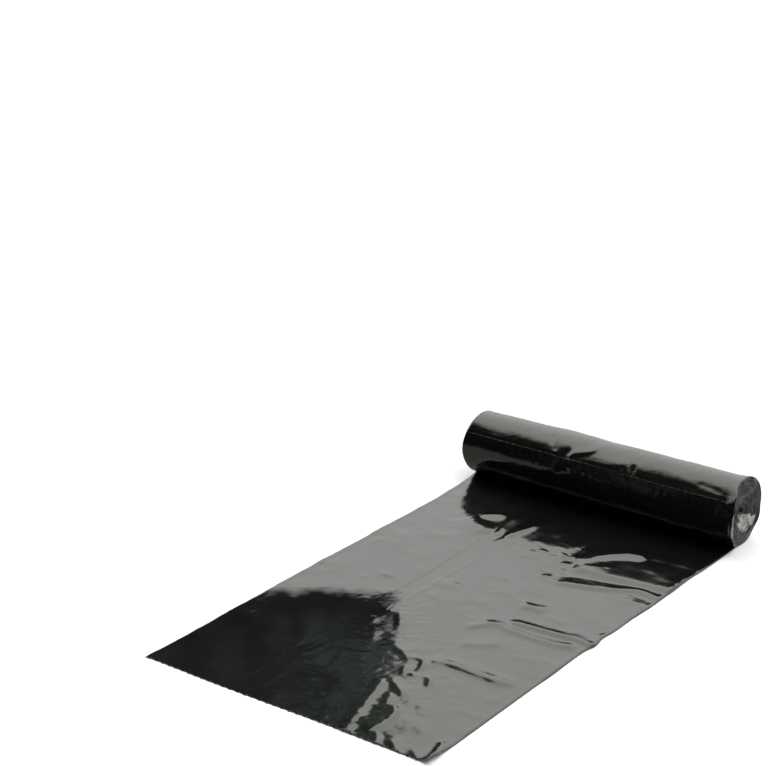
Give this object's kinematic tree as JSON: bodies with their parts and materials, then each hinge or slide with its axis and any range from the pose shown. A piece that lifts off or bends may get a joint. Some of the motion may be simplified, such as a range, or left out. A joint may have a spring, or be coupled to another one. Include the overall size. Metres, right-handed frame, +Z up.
{
  "type": "bin bag roll",
  "caption": "Coreless roll of black gusseted plastic refuse sacks lying on its side, with the first sack pulled out flat in front, ready to tear off.",
  "frame": {"origin": "on the ground, midway along the roll and midway between the back of the roll and the tail's free edge", "axes": "+X along the roll, +Y from the tail's free edge towards the roll, +Z up"},
  "size_m": [0.457, 0.8305, 0.1023],
  "materials": {
    "black_film": "glossy black blown polythene film"
  },
  "bodies": {
    "root": {"bag_web": "black_film"}
  },
  "joints": []
}
